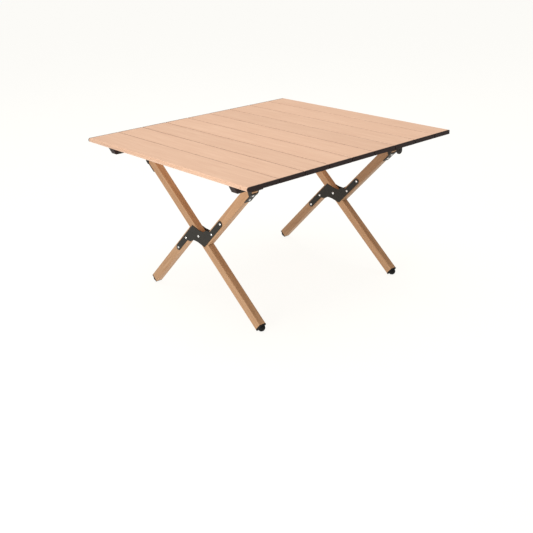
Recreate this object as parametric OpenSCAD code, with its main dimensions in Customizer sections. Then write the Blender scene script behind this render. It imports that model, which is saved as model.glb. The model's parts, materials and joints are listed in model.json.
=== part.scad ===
/* [Tabletop] */
// Length of the slats, across the table
slat_length = 600; // [560:5:640]
// Thickness of the slats
slat_t = 10; // [9:0.5:12]
// Width of the first slat, with the round nose
first_pitch = 87; // [80:1:92]
// Width of each middle slat
slat_pitch = 74; // [70:1:78]
// Width of the last slat
last_pitch = 61; // [56:1:70]
// Gap between two slats
slat_gap = 1.6; // [1.2:0.1:2]
// Wall of the slat extrusion
slat_wall = 1.4; // [1:0.1:2]
// Height of the table's top face
table_h = 390; // [386:1:400]

/* [Rails] */
// Distance from the table's middle to each rail's middle
rail_y = 228; // [226:1:232]
// Width of a rail
rail_w = 20; // [18:1:20]
// Height of a rail
rail_h = 21.8; // [20:0.2:21.8]
// Wall of a rail
rail_wall = 1.5; // [1.2:0.1:2]
// Length of a rail with its end plugs
rail_length = 634; // [620:2:640]

/* [Legs] */
// Distance from the middle to the plane of the first leg set
first_set_x = 225; // [222:1:232]
// Distance from the middle to the plane of the second leg set
second_set_x = 244; // [240:1:248]
// Distance from the middle to each leg's top pin
leg_spread = 198; // [196:0.5:200]
// Distance from the middle to each straight leg's foot
foot_spread = 208; // [198:1:208]
// Height of the leg's top pins
top_pin_z = 349; // [348:0.5:349]
// Width of a leg, seen along the rails
leg_w = 22; // [20:0.5:22]
// Thickness of a leg, along the rails
leg_t = 19; // [17:0.5:19]
// Sideways step from the crossing pin to each half of the split leg
split_step = 24; // [24:0.5:25]
// Radius of a foot's rubber dome
foot_r = 9; // [8.5:0.1:9]

/* [Steel] */
// Thickness of the crossing plates
plate_t = 1.5; // [1.2:0.1:1.5]
// Distance along the split leg to the near rivet
rivet_near = 48; // [46:1:50]
// Distance along the split leg to the far rivet
rivet_far = 96; // [92:1:98]
// Height of the rivet heads
head_h = 1.2; // [1:0.1:1.2]
// Radius of the pins
pin_r = 2.5; // [2.5:0.1:3]
// Height of the first leg set's folding axis
fold_z_first = 366.5; // [366:0.1:366.5]
// Height of the second leg set's folding axis
fold_z_second = 340; // [339:0.1:340]

/* [Hidden] */
set_nodes = [
    "leg_straight", "leg_upper", "leg_lower", "foot_straight", "foot_split",
    "cross_plates", "plate_rivets", "shoe_straight", "shoe_split",
    "shoe_pins_straight", "shoe_pins_split", "swivel_near", "swivel_far"
];
$fn = 48;

// Running clearance of a pin, and the step between neighbours
fit = 0.05;
gap = 0.3;

// Tabletop
slat_count = 9;
top_length = first_pitch + 7 * slat_pitch + last_pitch;
slat_z = table_h - slat_t;
cap_t = 3;
cap_tongue = 12;
cord_r = 1.5;
cord_y = slat_length / 2 - 22;
cord_z = slat_z + slat_t / 2;

// Rails
rail_top = slat_z - 0.2;
rail_inner = rail_y - rail_w / 2;
plug_length = 16;
plug_cut = 10;

// Crossing: where the line from a straight leg's top pin to its foot meets
// the middle. Each reach is measured from there to a top pin or a foot.
cross_rise = (top_pin_z - foot_r) * foot_spread / (leg_spread + foot_spread);
cross_z = foot_r + cross_rise;
lean = atan2(leg_spread, top_pin_z - cross_z);
leg_reach = leg_spread / sin(lean);
foot_reach = foot_spread / sin(lean);
split_turn = asin(split_step / leg_reach);
split_lean = lean - split_turn;
split_reach = leg_reach * cos(split_turn);
split_foot_reach = (cross_rise + split_step * sin(split_lean)) / cos(split_lean);
split_start = 15;

// Leg tops: the wood stops short of the pin, and a steel shoe carries it
wood_top = 7;
shoe_t = 2;
shoe_start = 14;
shoe_end = 48;
ear_end = 22;
ear_r = 6.5;
swivel_ear_x = leg_t / 2 - gap;
web_near = 15.7;
web_far = web_near + shoe_t;
spacer_y = rail_inner - leg_spread - web_far - gap;
swivel_r = 6;
rivet_r = 2;
rivet_depth = 12;
shoe_rivets = [22, 38];

// Crossing plate arms, and the feet
arm_r = 7.5;
foot_pad = 4;
stem_r = 3;
stem_length = 12;

// Slats

// Where slat k starts along the table
function seam(k) = -top_length / 2
    + (k == 1 ? 0 : first_pitch + (k - 2) * slat_pitch)
    - (k > slat_count ? slat_pitch - last_pitch : 0);

function slat_low(k) = seam(k) + (k == 1 ? 0 : slat_gap / 2);
function slat_high(k) = seam(k + 1) - (k == slat_count ? 0 : slat_gap / 2);

// Outline of slat k, seen from its end, smaller by inset
module slat_outline(k, inset) {
    low = slat_low(k) + inset;
    high = slat_high(k) - inset;
    bottom = slat_z + inset;
    top = table_h - inset;
    nose = (top - bottom) / 2;
    chamfer = 1;
    if (k == 1) {
        translate([low + nose, bottom + nose])
            circle(r = nose);
        translate([low + nose, bottom])
            square([high - low - nose, top - bottom]);
    } else {
        polygon([
            [low, bottom], [high, bottom], [high, top - chamfer],
            [high - chamfer, top], [low + chamfer, top], [low, top - chamfer]
        ]);
    }
}

module along_y(length, middle = 0) {
    translate([0, middle + length / 2, 0])
        rotate([90, 0, 0])
            linear_extrude(length)
                children();
}

module slat(k) {
    web = (slat_low(k) + slat_high(k)) / 2;
    color("burlywood")
        difference() {
            along_y(slat_length - 2 * cap_t)
                difference() {
                    slat_outline(k, 0);
                    difference() {
                        slat_outline(k, slat_wall);
                        translate([web - slat_wall / 2, slat_z])
                            square([slat_wall, slat_t]);
                    }
                }
            for (side = [-1, 1])
                translate([slat_low(k) - 1, side * cord_y, cord_z])
                    rotate([0, 90, 0])
                        cylinder(r = cord_r + 0.6, h = slat_high(k) - slat_low(k) + 2);
        }
}

module end_caps(k) {
    web = (slat_low(k) + slat_high(k)) / 2;
    color("#2b2220")
        for (side = [-1, 1]) {
            y_face = side * (slat_length - cap_t) / 2;
            y_tongue = side * (slat_length / 2 - cap_t - cap_tongue / 2);
            along_y(cap_t, y_face)
                slat_outline(k, 0);
            along_y(cap_tongue, y_tongue)
                difference() {
                    slat_outline(k, slat_wall + 0.1);
                    translate([web - slat_wall, slat_z])
                        square([2 * slat_wall, slat_t]);
                }
        }
}

module cord(k) {
    color("#1c1c1c")
        for (side = [-1, 1])
            translate([slat_low(k) + (k == 1 ? 4 : 0), side * cord_y, cord_z])
                rotate([0, 90, 0])
                    cylinder(
                        r = cord_r,
                        h = slat_high(k) - slat_low(k) - (k == 1 || k == slat_count ? 4 : 0)
                    );
}

// Blocks under an end slat that stand outside the rails
module locators(x) {
    block = [20, 12, 8];
    color("#2b2220")
        for (side = [-1, 1])
            translate([x, side * (rail_y + rail_w / 2 + 0.5 + block.y / 2), slat_z - block.z / 2])
                cube(block, center = true);
}

// Rails

module rail(side) {
    color("#3a3836") {
        difference() {
            translate([0, side * rail_y, rail_top - rail_h / 2])
                cube([rail_length - 2 * plug_length, rail_w, rail_h], center = true);
            translate([0, side * rail_y, rail_top - rail_h / 2])
                cube(
                    [rail_length, rail_w - 2 * rail_wall, rail_h - 2 * rail_wall],
                    center = true
                );
            translate([set_x(1), side * rail_inner, fold_z_first])
                rotate([90, 0, 0])
                    cylinder(r = pin_r + fit, h = 4 * rail_wall, center = true);
        }
        fold_pads(side);
    }
}

// Pads on the rail's inner face that the swivels turn against
module fold_pads(side) {
    lug_top = rail_top - 4;
    lug_low = fold_z_second - 9;
    y_pad = side * (rail_inner - spacer_y / 2);
    translate([set_x(1), y_pad, fold_z_first])
        rotate([90, 0, 0])
            difference() {
                cylinder(r = 9, h = spacer_y, center = true);
                cylinder(r = pin_r + fit, h = 2 * spacer_y, center = true);
            }
    translate([set_x(2), y_pad, 0])
        rotate([90, 0, 0])
            translate([0, 0, -spacer_y / 2])
                difference() {
                    linear_extrude(spacer_y)
                        union() {
                            translate([-9, fold_z_second])
                                square([18, lug_top - fold_z_second]);
                            translate([0, fold_z_second])
                                circle(r = fold_z_second - lug_low);
                        }
                    translate([0, fold_z_second, -1])
                        cylinder(r = pin_r + fit, h = spacer_y + 2);
                }
}

module rail_plugs(side) {
    inside = 14;
    color("#262422")
        for (end = [-1, 1]) {
            along_y(rail_w, side * rail_y)
                polygon([
                    [end * (rail_length / 2 - plug_length), rail_top - rail_h],
                    [end * (rail_length / 2 - plug_cut), rail_top - rail_h],
                    [end * rail_length / 2, rail_top - 3],
                    [end * rail_length / 2, rail_top],
                    [end * (rail_length / 2 - plug_length), rail_top]
                ]);
            translate([
                end * (rail_length / 2 - plug_length - inside / 2),
                side * rail_y,
                rail_top - rail_h / 2
            ])
                cube(
                    [inside, rail_w - 2 * rail_wall - 0.2, rail_h - 2 * rail_wall - 0.2],
                    center = true
                );
        }
}

// Where leg set s stands along the table
function set_x(s) = s == 1 ? -first_set_x : second_set_x;

// Leg sets. Each is drawn in its own plane: x to the side, y along a leg
// from the crossing pin towards its top, z through the thickness.

// Places children of a leg's plane in the table; lean_angle tilts its top
module leg_plane(s, lean_angle) {
    translate([set_x(s), 0, cross_z])
        rotate([-lean_angle, 0, 0])
            rotate([90, 0, 90])
                children();
}

// The straight leg's top leans to the far rail, the split leg's to the near
module straight_plane(s) {
    leg_plane(s, lean)
        children();
}

module split_plane(s) {
    leg_plane(s, -split_lean)
        children();
}

// A stick of wood with rounded long edges, from low to high along the leg
module stick(low, high, thick) {
    round = 1.5;
    w = leg_w / 2 - round;
    t = thick / 2 - round;
    translate([0, high, 0])
        rotate([90, 0, 0])
            linear_extrude(high - low)
                union() {
                    square([2 * w, thick], center = true);
                    square([leg_w, 2 * t], center = true);
                    for (i = [-1, 1])
                        for (j = [-1, 1])
                            translate([i * w, j * t])
                                circle(r = round);
                }
}

module leg_straight(s) {
    color("#c89a6b")
        straight_plane(s)
            difference() {
                stick(-foot_reach + foot_pad, leg_reach - wood_top, leg_t - 2 * gap);
                cylinder(r = pin_r + fit, h = 2 * leg_t, center = true);
                shoe_rivet_holes(1, leg_reach);
                foot_hole(foot_reach);
            }
}

module leg_upper(s) {
    color("#bf9468")
        split_plane(s)
            translate([-split_step, 0, 0])
                difference() {
                    stick(split_start, split_reach - wood_top, leg_t);
                    plate_rivet_holes();
                    shoe_rivet_holes(-1, split_reach);
                }
}

module leg_lower(s) {
    color("#bf9468")
        split_plane(s)
            translate([split_step, 0, 0])
                difference() {
                    stick(-split_foot_reach + foot_pad, -split_start, leg_t);
                    mirror([0, 1, 0])
                        plate_rivet_holes();
                    foot_hole(split_foot_reach);
                }
}

module plate_rivet_holes() {
    for (y = [rivet_near, rivet_far])
        translate([0, y, 0])
            cylinder(r = rivet_r + fit, h = 2 * leg_t, center = true);
}

// Holes for the two rivets that hold a shoe, in the leg's outer face
module shoe_rivet_holes(side, reach) {
    for (drop = shoe_rivets)
        translate([side * leg_w / 2, reach - drop, 0])
            rotate([0, 90, 0])
                cylinder(r = rivet_r + fit, h = 2 * rivet_depth, center = true);
}

module foot_hole(reach) {
    translate([0, -reach, 0])
        rotate([-90, 0, 0])
            cylinder(r = stem_r + fit, h = foot_pad + stem_length + fit);
}

// Rubber foot about the centre of its dome, with a stem up into the wood
module foot() {
    pad_w = leg_w - 1;
    pad_t = leg_t - 1;
    color("#1a1918") {
        translate([0, foot_pad / 2, 0])
            cube([pad_w, foot_pad, pad_t], center = true);
        rotate([90, 0, 0])
            rotate_extrude()
                intersection() {
                    circle(r = foot_r);
                    square(foot_r);
                }
        rotate([-90, 0, 0])
            cylinder(r = stem_r, h = foot_pad + stem_length);
    }
}

module foot_straight(s) {
    straight_plane(s)
        translate([0, -foot_reach, 0])
            foot();
}

module foot_split(s) {
    split_plane(s)
        translate([split_step, -split_foot_reach, 0])
            foot();
}

// Crossing plates, one on each face of the legs, joining the split halves

// Half of the outline; the other half is the same, turned half round
function plate_half() = [
    [split_step + arm_r, 0],
    [8.5, 14],
    [-3, 24],
    [-7, 38],
    [arm_r - split_step, rivet_near],
    [arm_r - split_step, rivet_far],
    [-arm_r - split_step, rivet_far]
];

module plate_outline() {
    difference() {
        union() {
            polygon(concat(plate_half(), [for (p = plate_half()) -p]));
            for (turn = [-1, 1])
                translate([-turn * split_step, turn * rivet_far])
                    circle(r = arm_r);
        }
        circle(r = pin_r + fit);
        for (turn = [-1, 1])
            for (y = [rivet_near, rivet_far])
                translate([-turn * split_step, turn * y])
                    circle(r = rivet_r + fit);
    }
}

module cross_plates(s) {
    color("#3b3936")
        split_plane(s)
            for (z = [-leg_t / 2 - plate_t, leg_t / 2])
                translate([0, 0, z])
                    linear_extrude(plate_t)
                        plate_outline();
}

// A dome of height head_h on a circle of radius r
module rivet_head(r) {
    dome_r = (r * r + head_h * head_h) / (2 * head_h);
    rotate_extrude()
        intersection() {
            translate([0, head_h - dome_r])
                circle(r = dome_r, $fn = 96);
            square([r, head_h]);
        }
}

// A pin along z with a head on each end
module headed_pin(r, length, head_r) {
    cylinder(r = r, h = length, center = true);
    for (end = [0, 1])
        mirror([0, 0, end])
            translate([0, 0, length / 2])
                rivet_head(head_r);
}

module plate_rivets(s) {
    length = leg_t + 2 * plate_t;
    color("silver")
        split_plane(s) {
            headed_pin(pin_r, length, 3.6);
            for (turn = [-1, 1])
                for (y = [rivet_near, rivet_far])
                    translate([-turn * split_step, turn * y, 0])
                        headed_pin(rivet_r, length, 3.2);
        }
}

// Shoes: steel caps on the leg tops, drawn about the top pin. The web lies
// on the leg's outer face, on the side given, and two ears reach the pin.

module shoe(side) {
    outer = leg_w / 2 + shoe_t;
    color("#3b3936")
        mirror([side < 0 ? 1 : 0, 0, 0]) {
            difference() {
                translate([leg_w / 2, -shoe_end, -leg_t / 2])
                    cube([shoe_t, shoe_end - shoe_start, leg_t]);
                for (drop = shoe_rivets)
                    translate([leg_w / 2, -drop, 0])
                        rotate([0, 90, 0])
                            cylinder(r = rivet_r + fit, h = 3 * shoe_t, center = true);
            }
            for (z = [-leg_t / 2 - shoe_t, leg_t / 2])
                translate([0, 0, z])
                    linear_extrude(shoe_t)
                        difference() {
                            union() {
                                circle(r = ear_r);
                                polygon([
                                    [ear_r, 0], [outer, -shoe_start], [outer, -ear_end],
                                    [leg_w / 2, -ear_end], [-ear_r, -shoe_start], [-ear_r, 0]
                                ]);
                            }
                            circle(r = pin_r + fit);
                        }
        }
}

module shoe_straight(s) {
    straight_plane(s)
        translate([0, leg_reach, 0])
            shoe(1);
}

module shoe_split(s) {
    split_plane(s)
        translate([-split_step, split_reach, 0])
            shoe(-1);
}

// The top pin and the two rivets of a shoe
module shoe_pins(side) {
    color("silver") {
        headed_pin(pin_r, leg_t + 2 * shoe_t, 4);
        for (drop = shoe_rivets)
            translate([side * (leg_w / 2 + shoe_t), -drop, 0])
                rotate([0, side * 90, 0]) {
                    rivet_head(3.2);
                    mirror([0, 0, 1])
                        cylinder(r = rivet_r, h = shoe_t + rivet_depth - 1);
                }
    }
}

module shoe_pins_straight(s) {
    straight_plane(s)
        translate([0, leg_reach, 0])
            shoe_pins(1);
}

module shoe_pins_split(s) {
    split_plane(s)
        translate([-split_step, split_reach, 0])
            shoe_pins(-1);
}

// Swivels: brackets that turn against the rail's pads on a rivet across the
// table, and hold a leg's top pin between two ears

module swivel(s, side) {
    fold_z = s == 1 ? fold_z_first : fold_z_second;
    low = min(top_pin_z - swivel_r, fold_z);
    high = max(top_pin_z + swivel_r, fold_z);
    wall_far = s == 1 ? rail_wall : 0;
    rivet_far_y = web_far + gap + spacer_y + wall_far + fit;
    color("#3b3936")
        translate([set_x(s), side * leg_spread, 0])
            mirror([0, side < 0 ? 1 : 0, 0]) {
                translate([0, web_far, 0])
                    rotate([90, 0, 0])
                        linear_extrude(shoe_t)
                            difference() {
                                union() {
                                    translate([-swivel_ear_x, low])
                                        square([2 * swivel_ear_x, high - low]);
                                    translate([0, fold_z])
                                        circle(r = swivel_ear_x);
                                }
                                translate([0, fold_z])
                                    circle(r = pin_r);
                            }
                for (x = [-swivel_ear_x, swivel_ear_x - shoe_t])
                    translate([x, 0, top_pin_z])
                        rotate([90, 0, 90])
                            linear_extrude(shoe_t)
                                difference() {
                                    union() {
                                        circle(r = swivel_r);
                                        translate([0, -swivel_r])
                                            square([web_near, 2 * swivel_r]);
                                    }
                                    circle(r = pin_r + fit);
                                }
                translate([0, (web_near + rivet_far_y) / 2, fold_z])
                    rotate([90, 0, 0])
                        headed_pin(pin_r, rivet_far_y - web_near, 4);
            }
}

module swivel_near(s) {
    swivel(s, -1);
}

module swivel_far(s) {
    swivel(s, 1);
}

for (k = [1:slat_count]) {
    slat(k);
    end_caps(k);
    cord(k);
}
locators(slat_high(1) - 35);  // locators_first
locators(slat_low(slat_count) + 22);  // locators_last
rail(-1);  // rail_near
rail(1);  // rail_far
rail_plugs(-1);  // rail_plugs_near
rail_plugs(1);  // rail_plugs_far
for (s = [1:2]) {
    leg_straight(s);
    leg_upper(s);
    leg_lower(s);
    foot_straight(s);
    foot_split(s);
    cross_plates(s);
    plate_rivets(s);
    shoe_straight(s);
    shoe_split(s);
    shoe_pins_straight(s);
    shoe_pins_split(s);
    swivel_near(s);
    swivel_far(s);
}
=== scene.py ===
import json
import math

import bmesh
import bpy
from mathutils import Euler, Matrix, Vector


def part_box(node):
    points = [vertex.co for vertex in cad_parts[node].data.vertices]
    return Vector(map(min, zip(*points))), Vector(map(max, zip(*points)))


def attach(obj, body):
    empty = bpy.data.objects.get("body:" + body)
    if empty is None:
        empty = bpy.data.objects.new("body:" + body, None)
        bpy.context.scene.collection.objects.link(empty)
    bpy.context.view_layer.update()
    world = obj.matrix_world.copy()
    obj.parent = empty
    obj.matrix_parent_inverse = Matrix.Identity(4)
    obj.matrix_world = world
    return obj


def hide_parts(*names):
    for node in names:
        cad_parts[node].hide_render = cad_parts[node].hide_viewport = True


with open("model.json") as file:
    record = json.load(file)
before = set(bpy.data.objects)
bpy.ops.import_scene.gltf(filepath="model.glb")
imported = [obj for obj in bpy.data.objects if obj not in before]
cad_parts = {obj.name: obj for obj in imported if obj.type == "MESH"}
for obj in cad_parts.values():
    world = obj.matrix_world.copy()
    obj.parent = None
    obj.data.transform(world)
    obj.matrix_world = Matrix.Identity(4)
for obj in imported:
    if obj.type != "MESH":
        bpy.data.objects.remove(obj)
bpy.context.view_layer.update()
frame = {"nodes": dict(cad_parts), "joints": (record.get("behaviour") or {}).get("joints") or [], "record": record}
nodes = frame["nodes"]
bodies = frame["record"]["behaviour"]["bodies"]
bodyOf = {node: body for body, members in bodies.items() for node in members}
slotOf = {part["node"]: part["material_slot"] for part in frame["record"]["subparts"]}
joints = {joint["name"]: joint for joint in frame["joints"]}
print("frame loaded:", len(nodes), "nodes")


# Camera, floor and studio light

camera = {
    "place": (-1.3520, -1.4851, 0.8754),
    "turn": (67.2687, 1.2202, -42.4416),
    "lens": 55.60,
    "sensor": 36,
}

studio = {
    "floorRadius": 40,
    "floorColour": (0.12, 0.118, 0.114, 1),
    "floorGlowColour": (1.0, 0.99, 0.957, 1),
    "floorGlow": 0.925,
    "roomColour": (1.0, 0.99, 0.957, 1),
    "roomStrength": 0.32,
    # name: place, point looked at, size, power
    "lamps": {
        "topSoftbox": ((0.0, 0.2, 2.6), (0, 0, 0.39), 2.6, 64),
        "sideSoftbox": ((-1.15, -0.3, 0.4), (-0.2, 0, 0.2), 0.6, 4.6),
    },
}


def placeCamera():
    data = bpy.data.cameras.new("viewCamera")
    data.lens = camera["lens"]
    data.sensor_width = camera["sensor"]
    viewer = bpy.data.objects.new("viewCamera", data)
    viewer.location = camera["place"]
    viewer.rotation_euler = Euler([math.radians(a) for a in camera["turn"]])
    bpy.context.scene.collection.objects.link(viewer)
    bpy.context.scene.camera = viewer


def lightStudio():
    for name, (place, target, size, power) in studio["lamps"].items():
        data = bpy.data.lights.new(name, "AREA")
        data.size = size
        data.energy = power
        lamp = bpy.data.objects.new(name, data)
        lamp.location = place
        lamp.rotation_euler = (Vector(target) - Vector(place)).to_track_quat("-Z", "Y").to_euler()
        bpy.context.scene.collection.objects.link(lamp)
    room = bpy.data.worlds.new("paleRoom")
    room.use_nodes = True
    room.node_tree.nodes["Background"].inputs["Color"].default_value = studio["roomColour"]
    room.node_tree.nodes["Background"].inputs["Strength"].default_value = studio["roomStrength"]
    bpy.context.scene.world = room
    bpy.context.scene.view_settings.view_transform = "Standard"


def layFloor():
    bm = bmesh.new()
    bmesh.ops.create_circle(bm, cap_ends=True, radius=studio["floorRadius"], segments=96)
    mesh = bpy.data.meshes.new("studioFloor")
    bm.to_mesh(mesh)
    bm.free()
    floor = bpy.data.objects.new("studioFloor", mesh)
    bpy.context.scene.collection.objects.link(floor)
    material = bpy.data.materials.new("studioFloor")
    material.use_nodes = True
    shader = material.node_tree.nodes["Principled BSDF"]
    shader.inputs["Base Color"].default_value = studio["floorColour"]
    shader.inputs["Roughness"].default_value = 0.9
    shader.inputs["Specular IOR Level"].default_value = 0.1
    shader.inputs["Emission Color"].default_value = studio["floorGlowColour"]
    shader.inputs["Emission Strength"].default_value = studio["floorGlow"]
    mesh.materials.append(material)


placeCamera()
lightStudio()
layFloor()
print("camera, floor and light placed")


# Shader helpers

def newGroup(name, inputs, outputs):
    tree = bpy.data.node_groups.new(name, "ShaderNodeTree")
    for label, kind, value in inputs:
        socket = tree.interface.new_socket(label, in_out="INPUT", socket_type="NodeSocket" + kind)
        if value is not None:
            socket.default_value = value
    for label, kind in outputs:
        tree.interface.new_socket(label, in_out="OUTPUT", socket_type="NodeSocket" + kind)
    return tree, tree.nodes.new("NodeGroupInput"), tree.nodes.new("NodeGroupOutput")


def put(tree, kind, links=None, **values):
    # adds a node; links feed its inputs, values set properties or inputs
    node = tree.nodes.new("ShaderNode" + kind)
    for key, value in values.items():
        if hasattr(node, key):
            setattr(node, key, value)
        else:
            node.inputs[key.replace("_", " ")].default_value = value
    for key, source in (links or {}).items():
        tree.links.new(source, node.inputs[key])
    return node


def maths(tree, operation, first, second=None):
    node = tree.nodes.new("ShaderNodeMath")
    node.operation = operation
    for socket, value in zip(node.inputs, (first, second)):
        if value is None:
            continue
        if hasattr(value, "is_output"):
            tree.links.new(value, socket)
        else:
            socket.default_value = value
    return node.outputs["Value"]


def mixColour(tree, share, first, second, blend="MIX"):
    node = tree.nodes.new("ShaderNodeMix")
    node.data_type = "RGBA"
    node.blend_type = blend
    sockets = [s for s in node.inputs if s.type == "RGBA"]
    for socket, value in zip([node.inputs["Factor"]] + sockets, (share, first, second)):
        if hasattr(value, "is_output"):
            tree.links.new(value, socket)
        else:
            socket.default_value = value
    return [s for s in node.outputs if s.type == "RGBA"][0]


def ramp(tree, source, stops):
    node = tree.nodes.new("ShaderNodeValToRGB")
    elements = node.color_ramp.elements
    while len(elements) < len(stops):
        elements.new(0.5)
    for element, (position, shade) in zip(elements, stops):
        element.position = position
        element.color = shade if hasattr(shade, "__len__") else (shade, shade, shade, 1)
    tree.links.new(source, node.inputs["Fac"])
    return node.outputs["Color"]


# How much finer the pores are than the streaks, across and along them
poreFineness = (9, 9, 2.6)


# Long soft streaks and fine pores that run along Z of the vector it is given
def makeStreakGroup():
    tree, given, result = newGroup(
        "woodStreaks",
        [("Vector", "Vector", None), ("Band Width", "Float", 0.012), ("Stretch", "Float", 14.0),
         ("Seed", "Float", 0.0)],
        [("Bands", "Float"), ("Pores", "Float")],
    )
    size = maths(tree, "DIVIDE", 1.0, given.outputs["Band Width"])
    along = maths(tree, "DIVIDE", size, given.outputs["Stretch"])
    parts = put(tree, "SeparateXYZ", {"Vector": given.outputs["Vector"]})
    scaled = put(tree, "CombineXYZ", {
        "X": maths(tree, "MULTIPLY", parts.outputs["X"], size),
        "Y": maths(tree, "MULTIPLY", parts.outputs["Y"], size),
        "Z": maths(tree, "MULTIPLY", parts.outputs["Z"], along),
    })
    bands = put(tree, "TexNoise", {"Vector": scaled.outputs["Vector"], "W": given.outputs["Seed"]},
                noise_dimensions="4D", Scale=1.0, Detail=4.0, Roughness=0.6, Distortion=0.35)
    finer = put(tree, "VectorMath", {0: scaled.outputs["Vector"]}, operation="MULTIPLY")
    finer.inputs[1].default_value = poreFineness
    pores = put(tree, "TexNoise", {"Vector": finer.outputs["Vector"], "W": given.outputs["Seed"]},
                noise_dimensions="4D", Scale=1.0, Detail=2.0, Roughness=0.5)
    tree.links.new(bands.outputs["Fac"], result.inputs["Bands"])
    tree.links.new(pores.outputs["Fac"], result.inputs["Pores"])
    return tree


# How sharp an edge has to be to get rubbed, and how much of it the patches leave
rubbing = {"ridge": (0.52, 0.62), "patches": (0.42, 0.62)}


# A mask of rubbed outer edges, broken up by noise
def makeEdgeWearGroup():
    tree, given, result = newGroup(
        "rubbedEdges",
        [("Vector", "Vector", None), ("Amount", "Float", 0.5), ("Patch Size", "Float", 0.008)],
        [("Mask", "Float")],
    )
    edge = put(tree, "NewGeometry")
    ridge = put(tree, "MapRange", {"Value": edge.outputs["Pointiness"]}, clamp=True)
    ridge.inputs["From Min"].default_value, ridge.inputs["From Max"].default_value = rubbing["ridge"]
    patches = put(tree, "TexNoise", {
        "Vector": given.outputs["Vector"],
        "Scale": maths(tree, "DIVIDE", 1.0, given.outputs["Patch Size"]),
    }, Detail=4.0, Roughness=0.65)
    broken = put(tree, "MapRange", {"Value": patches.outputs["Fac"]}, clamp=True)
    broken.inputs["From Min"].default_value, broken.inputs["From Max"].default_value = rubbing["patches"]
    worn = maths(tree, "MULTIPLY", ridge.outputs["Result"], broken.outputs["Result"])
    tree.links.new(maths(tree, "MULTIPLY", worn, given.outputs["Amount"]), result.inputs["Mask"])
    return tree


cloudScale = 38.0


# Fine dimples of powder coat, moulded plastic or rubber, with slow cloudy change of tone
def makeSurfaceGroup():
    tree, given, result = newGroup(
        "fineTexture",
        [("Vector", "Vector", None), ("Dimple Size", "Float", 0.0006), ("Strength", "Float", 0.3),
         ("Depth", "Float", 0.0001)],
        [("Normal", "Vector"), ("Tone", "Float")],
    )
    dimples = put(tree, "TexNoise", {
        "Vector": given.outputs["Vector"],
        "Scale": maths(tree, "DIVIDE", 1.0, given.outputs["Dimple Size"]),
    }, Detail=2.0, Roughness=0.5)
    bump = put(tree, "Bump", {
        "Strength": given.outputs["Strength"],
        "Distance": given.outputs["Depth"],
        "Height": dimples.outputs["Fac"],
    })
    clouds = put(tree, "TexNoise", {"Vector": given.outputs["Vector"]},
                 Scale=cloudScale, Detail=5.0, Roughness=0.6)
    tree.links.new(bump.outputs["Normal"], result.inputs["Normal"])
    tree.links.new(clouds.outputs["Fac"], result.inputs["Tone"])
    return tree


streakGroup = makeStreakGroup()
edgeWearGroup = makeEdgeWearGroup()
surfaceGroup = makeSurfaceGroup()


def newMaterial(name):
    material = bpy.data.materials.new(name)
    material.use_nodes = True
    tree = material.node_tree
    return material, tree, tree.nodes["Principled BSDF"], put(tree, "TexCoord").outputs["Object"]


def useGroup(tree, group, links=None, **values):
    node = put(tree, "Group", node_tree=group)
    for key, value in values.items():
        node.inputs[key.replace("_", " ")].default_value = value
    for key, source in (links or {}).items():
        tree.links.new(source, node.inputs[key])
    return node


# Printed wood film: grain along the slats, a fresh piece of it on each slat

slatFilm = {
    "pale": (0.770, 0.505, 0.350, 1),
    "deep": (0.640, 0.380, 0.250, 1),
    "bandWidth": 0.0075,
    "stretch": 15,
    "slatTone": 0.05,
    "roughness": 0.42,
    "poreDepth": 0.00006,
    # painted shade of the gaps between slats: the film is darkened next to each seam
    "seam": (0.270, 0.155, 0.108, 1),
    "seamReach": (0.0008, 0.0016),
}


def makeSlatFilm(slatStart, slatWidth, seamCount):
    material, tree, shader, place = newMaterial("slatFilm")
    parts = put(tree, "SeparateXYZ", {"Vector": place})
    steps = maths(tree, "DIVIDE", maths(tree, "SUBTRACT", parts.outputs["X"], slatStart), slatWidth)
    index = maths(tree, "MAXIMUM", maths(tree, "FLOOR", steps), -1.0)
    nearest = maths(tree, "MAXIMUM", maths(tree, "ROUND", steps), 0.0)
    nearest = maths(tree, "MINIMUM", nearest, seamCount - 1.0)
    fromSeam = maths(tree, "ABSOLUTE", maths(tree, "SUBTRACT", steps, nearest))
    fromSeam = maths(tree, "MULTIPLY", fromSeam, slatWidth)
    along = put(tree, "CombineXYZ", {
        "X": parts.outputs["X"],
        "Y": parts.outputs["Z"],
        "Z": parts.outputs["Y"],
    })
    grain = useGroup(tree, streakGroup, {
        "Vector": along.outputs["Vector"],
        "Seed": maths(tree, "MULTIPLY", index, 7.31),
    }, Band_Width=slatFilm["bandWidth"], Stretch=slatFilm["stretch"])
    bands = ramp(tree, grain.outputs["Bands"], [(0.30, 0.0), (0.48, 0.35), (0.62, 0.55), (0.80, 1.0)])
    colour = mixColour(tree, bands, slatFilm["pale"], slatFilm["deep"])
    pores = ramp(tree, grain.outputs["Pores"], [(0.55, 0.0), (0.72, 0.30)])
    colour = mixColour(tree, pores, colour, slatFilm["deep"])
    chance = put(tree, "TexWhiteNoise", {"W": index}, noise_dimensions="1D").outputs["Value"]
    tone = maths(tree, "MULTIPLY", chance, slatFilm["slatTone"])
    tone = maths(tree, "ADD", tone, 1 - slatFilm["slatTone"] / 2)
    toned = put(tree, "VectorMath", {0: colour, 1: tone}, operation="MULTIPLY").outputs["Vector"]
    # mask of the painted shade along each seam between slats
    seamShadeMask = put(tree, "MapRange", {"Value": fromSeam}, clamp=True)
    limits = slatFilm["seamReach"] + (1.0, 0.0)
    for label, value in zip(("From Min", "From Max", "To Min", "To Max"), limits):
        seamShadeMask.inputs[label].default_value = value
    toned = mixColour(tree, seamShadeMask.outputs["Result"], toned, slatFilm["seam"])
    bump = put(tree, "Bump", {"Height": grain.outputs["Pores"]},
               Strength=0.25, Distance=slatFilm["poreDepth"])
    tree.links.new(toned, shader.inputs["Base Color"])
    tree.links.new(bump.outputs["Normal"], shader.inputs["Normal"])
    shader.inputs["Roughness"].default_value = slatFilm["roughness"]
    shader.inputs["Specular IOR Level"].default_value = 0.35
    return material


# Oiled hardwood of the legs, with its grain along each leg

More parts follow.
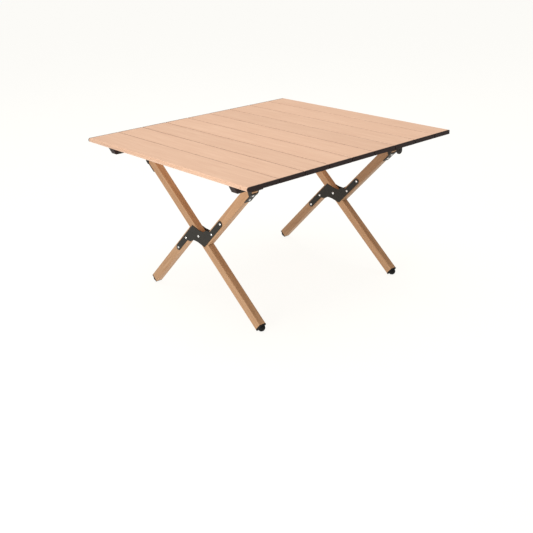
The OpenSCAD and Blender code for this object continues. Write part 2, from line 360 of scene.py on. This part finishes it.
legTimber = {
    "pale": (0.585, 0.350, 0.190, 1),
    "deep": (0.375, 0.188, 0.085, 1),
    "end": (0.260, 0.140, 0.068, 1),
    "bandWidth": 0.006,
    "stretch": 22,
    "roughness": 0.5,
    "roughnessSpread": 0.12,
    "poreDepth": 0.00012,
}


# shade scales the pale, deep and end colours; below 1 it paints a leg darker
def makeLegTimber(name, lean, seed, shade=1.0):
    material, tree, shader, place = newMaterial(name)
    pale, deep, end = [
        (*[part * shade for part in legTimber[tone][:3]], 1) for tone in ("pale", "deep", "end")
    ]
    # turned so that Z runs along the leg
    turned = put(tree, "Mapping", {"Vector": place}, vector_type="POINT")
    turned.inputs["Rotation"].default_value = (lean, 0, 0)
    grain = useGroup(tree, streakGroup, {"Vector": turned.outputs["Vector"]},
                     Band_Width=legTimber["bandWidth"], Stretch=legTimber["stretch"], Seed=seed)
    bands = ramp(tree, grain.outputs["Bands"], [(0.28, 0.0), (0.46, 0.3), (0.60, 0.6), (0.82, 1.0)])
    colour = mixColour(tree, bands, pale, deep)
    pores = ramp(tree, grain.outputs["Pores"], [(0.55, 0.0), (0.75, 0.5)])
    colour = mixColour(tree, pores, colour, deep)
    normal = put(tree, "TexCoord").outputs["Normal"]
    facing = put(tree, "VectorRotate", {"Vector": normal}, rotation_type="X_AXIS")
    facing.inputs["Angle"].default_value = lean
    endOn = put(tree, "SeparateXYZ", {"Vector": facing.outputs["Vector"]}).outputs["Z"]
    endMask = ramp(tree, maths(tree, "ABSOLUTE", endOn), [(0.75, 0.0), (0.95, 0.7)])
    colour = mixColour(tree, endMask, colour, end)
    wear = useGroup(tree, edgeWearGroup, {"Vector": place}, Amount=0.35)
    colour = mixColour(tree, wear.outputs["Mask"], colour, pale)
    bump = put(tree, "Bump", {"Height": grain.outputs["Pores"]},
               Strength=0.3, Distance=legTimber["poreDepth"])
    spread = legTimber["roughnessSpread"]
    rough = maths(tree, "MULTIPLY", grain.outputs["Bands"], spread)
    rough = maths(tree, "ADD", rough, legTimber["roughness"] - spread / 2)
    tree.links.new(colour, shader.inputs["Base Color"])
    tree.links.new(rough, shader.inputs["Roughness"])
    tree.links.new(bump.outputs["Normal"], shader.inputs["Normal"])
    shader.inputs["Specular IOR Level"].default_value = 0.3
    return material


# Finishes with fine dimples, a cloudy tone and rubbed edges
# name: colour, lighter colour of the rubbed edges, metal, roughness, dimple size, dimple depth, wear

dimpledFinishes = {
    "powderCoat": ((0.022, 0.019, 0.014, 1), (0.08, 0.072, 0.062, 1), 0.0, 0.50, 0.0007, 0.00005, 0.3),
    "mouldedPlastic": ((0.018, 0.006, 0.005, 1), (0.055, 0.034, 0.028, 1), 0.0, 0.58, 0.0005, 0.00008, 0.4),
    "footRubber": ((0.007, 0.007, 0.007, 1), (0.04, 0.04, 0.038, 1), 0.0, 0.75, 0.0007, 0.00012, 0.5),
    "brightRivet": ((0.80, 0.79, 0.77, 1), (0.92, 0.92, 0.90, 1), 1.0, 0.24, 0.0009, 0.00004, 0.4),
}


def makeDimpledFinish(name):
    colour, rubbed, metal, roughness, dimple, depth, amount = dimpledFinishes[name]
    material, tree, shader, place = newMaterial(name)
    surface = useGroup(tree, surfaceGroup, {"Vector": place}, Dimple_Size=dimple, Depth=depth, Strength=0.5)
    clouds = ramp(tree, surface.outputs["Tone"], [(0.3, 0.82), (0.7, 1.12)])
    shade = mixColour(tree, 1.0, colour, clouds, "MULTIPLY")
    wear = useGroup(tree, edgeWearGroup, {"Vector": place}, Amount=amount)
    tree.links.new(mixColour(tree, wear.outputs["Mask"], shade, rubbed), shader.inputs["Base Color"])
    rough = maths(tree, "ADD", maths(tree, "MULTIPLY", surface.outputs["Tone"], 0.16), roughness - 0.08)
    tree.links.new(rough, shader.inputs["Roughness"])
    tree.links.new(surface.outputs["Normal"], shader.inputs["Normal"])
    shader.inputs["Metallic"].default_value = metal
    shader.inputs["Specular IOR Level"].default_value = 0.25
    return material


# Braided sleeve of the elastic cord

cordBraid = {
    "dark": (0.018, 0.018, 0.018, 1),
    "light": (0.075, 0.072, 0.068, 1),
    "strand": 0.0011,
    "slant": 40,
}


def makeCordBraid():
    material, tree, shader, place = newMaterial("cordBraid")
    strands = []
    for side in (-1, 1):
        turned = put(tree, "Mapping", {"Vector": place})
        turned.inputs["Rotation"].default_value = (0, 0, side * math.radians(cordBraid["slant"]))
        wave = put(tree, "TexWave", {"Vector": turned.outputs["Vector"]},
                   wave_type="BANDS", bands_direction="X",
                   Scale=1 / cordBraid["strand"] / 20, Distortion=0.0)
        strands.append(wave.outputs["Fac"])
    weave = maths(tree, "MAXIMUM", *strands)
    colour = mixColour(tree, weave, cordBraid["dark"], cordBraid["light"])
    bump = put(tree, "Bump", {"Height": weave}, Strength=0.6, Distance=0.0002)
    tree.links.new(colour, shader.inputs["Base Color"])
    tree.links.new(bump.outputs["Normal"], shader.inputs["Normal"])
    shader.inputs["Roughness"].default_value = 0.85
    return material


# Leaning angles of the legs, from their top pins to the crossing pin
def leanOf(topJoint, crossing, sidestep):
    drop = Vector(joints[topJoint]["pos_m"]) - Vector(joints[crossing]["pos_m"])
    return math.copysign(math.atan2(abs(drop.y), drop.z) - math.asin(sidestep / drop.length), drop.y)


legs = {"splitStep": 0.024}
straightLean = leanOf("far_pin_1", "crossing_1", 0)
splitLean = leanOf("scissor", "crossing_1", legs["splitStep"])
firstSeam = (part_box("slat_1")[1].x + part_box("slat_2")[0].x) / 2
secondSeam = (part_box("slat_2")[1].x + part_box("slat_3")[0].x) / 2

finishes = {
    "wood_film_slat": makeSlatFilm(firstSeam, secondSeam - firstSeam, 8),
    "dark_plastic": makeDimpledFinish("mouldedPlastic"),
    "coated_steel": makeDimpledFinish("powderCoat"),
    "rubber_foot": makeDimpledFinish("footRubber"),
    "bright_rivet": makeDimpledFinish("brightRivet"),
    "elastic_cord": makeCordBraid(),
}
timbers = {
    "leg_straight_1": makeLegTimber("straightTimber1", straightLean, 1.3),
    "leg_straight_2": makeLegTimber("straightTimber2", straightLean, 4.1),
    "leg_upper_1": makeLegTimber("upperTimber1", splitLean, 6.2),
    "leg_lower_1": makeLegTimber("lowerTimber1", splitLean, 8.8),
    # the far set's split leg is painted darker: painted shade for its greater distance from the side lamp, and
    # partly the darker wood of these pieces
    "leg_upper_2": makeLegTimber("upperTimber2", splitLean, 11.5, 0.70),
    "leg_lower_2": makeLegTimber("lowerTimber2", splitLean, 13.9, 0.80),
}
print("finishes made:", len(finishes) + len(timbers))


# Pieces: each is worked up from the shape of its CAD node, with softened edges

# mergeDistance in metres; angles in degrees
shaping = {"mergeDistance": 4e-6, "flatAngle": 0.5, "softenAngle": 28, "sharpAngle": 38, "segments": 2}


def solidOf(node):
    bm = bmesh.new()
    bm.from_mesh(nodes[node].data)
    bmesh.ops.remove_doubles(bm, verts=bm.verts, dist=shaping["mergeDistance"])
    flat = math.radians(shaping["flatAngle"])
    bmesh.ops.dissolve_limit(bm, angle_limit=flat, verts=bm.verts, edges=bm.edges)
    return bm


def softenEdges(bm, radius):
    limit = math.radians(shaping["softenAngle"])
    picked = [e for e in bm.edges if e.is_manifold and e.calc_face_angle(0) > limit]
    bmesh.ops.bevel(bm, geom=picked, offset=radius, offset_type="OFFSET",
                    segments=shaping["segments"], profile=0.5, affect="EDGES", clamp_overlap=True)


# addsTo: the piece is an extra on the node's body and stands for no node
def finishPiece(bm, name, node, material=None, addsTo=False):
    sharp = math.radians(shaping["sharpAngle"])
    for face in bm.faces:
        face.smooth = True
    for edge in bm.edges:
        edge.smooth = not (edge.is_manifold and edge.calc_face_angle(0) > sharp)
    mesh = bpy.data.meshes.new(name)
    bm.to_mesh(mesh)
    bm.free()
    mesh.materials.append(material or finishes[slotOf[node]])
    piece = bpy.data.objects.new(name, mesh)
    bpy.context.scene.collection.objects.link(piece)
    even = piece.modifiers.new("evenNormals", "WEIGHTED_NORMAL")
    even.keep_sharp = True
    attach(piece, bodyOf[node])
    if not addsTo:
        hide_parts(node)
    return piece


def camelName(node):
    first, *rest = node.split("_")
    return first + "".join(word.capitalize() for word in rest)


edgeRadius = {
    "slat": 0.0004,
    "end": 0.0006,
    "leg": 0.0008,
    "cross": 0.0004,
    "shoe": 0.0004,
    "swivel": 0.0004,
    "foot": 0.0006,
    "rail": 0.0004,
    "plate": 0.0001,
    "locators": 0.0008,
    "cord": 0.0001,
}

for node in sorted(nodes):
    kind = node.split("_")[0]
    bm = solidOf(node)
    softenEdges(bm, edgeRadius[kind])
    finishPiece(bm, camelName(node), node, timbers.get(node))
print("pieces made:", len(nodes))


# Domed plugs that close the cord holes in the two long edges of the top

holePlug = {"radius": 0.00206, "halfDepth": 0.0016, "sink": 0.0018, "sides": 24, "rings": 12}


def makeHolePlug(name, node, edge, inward, side, cord):
    low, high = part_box(cord)
    cordRadius = (high.z - low.z) / 2
    middle = Vector((
        edge + inward * holePlug["sink"],
        side * (high.y - cordRadius),
        (low.z + high.z) / 2,
    ))
    bm = bmesh.new()
    bmesh.ops.create_uvsphere(
        bm, u_segments=holePlug["sides"], v_segments=holePlug["rings"], radius=1
    )
    reach = Vector((holePlug["halfDepth"], holePlug["radius"], holePlug["radius"]))
    for vert in bm.verts:
        vert.co = middle + vert.co * reach
    finishPiece(bm, name, node, addsTo=True)


for side, word in ((-1, "Near"), (1, "Far")):
    makeHolePlug("frontPlug" + word, "slat_1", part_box("slat_1")[0].x, 1, side, "cord_1")
    makeHolePlug("backPlug" + word, "slat_9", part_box("slat_9")[1].x, -1, side, "cord_9")
print("hole plugs made")
